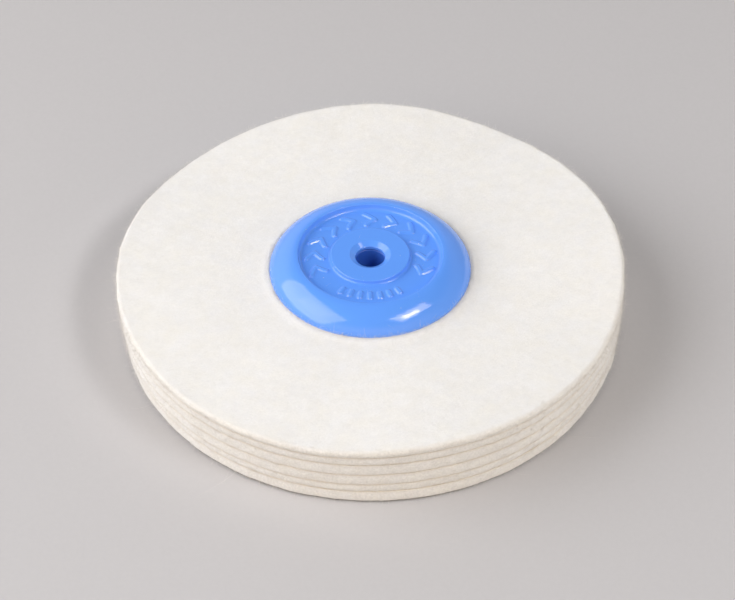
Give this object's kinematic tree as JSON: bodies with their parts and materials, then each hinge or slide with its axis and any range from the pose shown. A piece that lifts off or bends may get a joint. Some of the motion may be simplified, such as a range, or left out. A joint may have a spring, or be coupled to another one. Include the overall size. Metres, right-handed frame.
{
  "type": "felt polishing wheel",
  "caption": "Soft layered felt polishing wheel with a domed plastic hub, a round bore and a raised boss on each face, lying flat.",
  "frame": {"origin": "middle of the hub on the spin axis, halfway between the two caps' crests", "axes": "+Z along the spin axis, out of the front cap; the wheel lies flat on its back cap's crest"},
  "size_m": [0.15, 0.15, 0.0274],
  "materials": {
    "white_felt": "soft pressed wool felt, off-white, fuzzy at the cut edges",
    "blue_cap_plastic": "light blue moulded plastic, semi-gloss",
    "blue_sleeve_plastic": "blue moulded plastic, satin",
    "pin_steel": "drawn steel pin"
  },
  "bodies": {
    "root": {"felt_disc_1": "white_felt", "felt_disc_2": "white_felt", "felt_disc_3": "white_felt", "felt_disc_4": "white_felt", "felt_disc_5": "white_felt", "felt_disc_6": "white_felt", "front_cap": "blue_cap_plastic", "back_cap": "blue_cap_plastic", "core_sleeve": "blue_sleeve_plastic", "drive_pin_1": "pin_steel", "drive_pin_2": "pin_steel", "drive_pin_3": "pin_steel", "drive_pin_4": "pin_steel", "drive_pin_5": "pin_steel", "drive_pin_6": "pin_steel"}
  },
  "joints": []
}
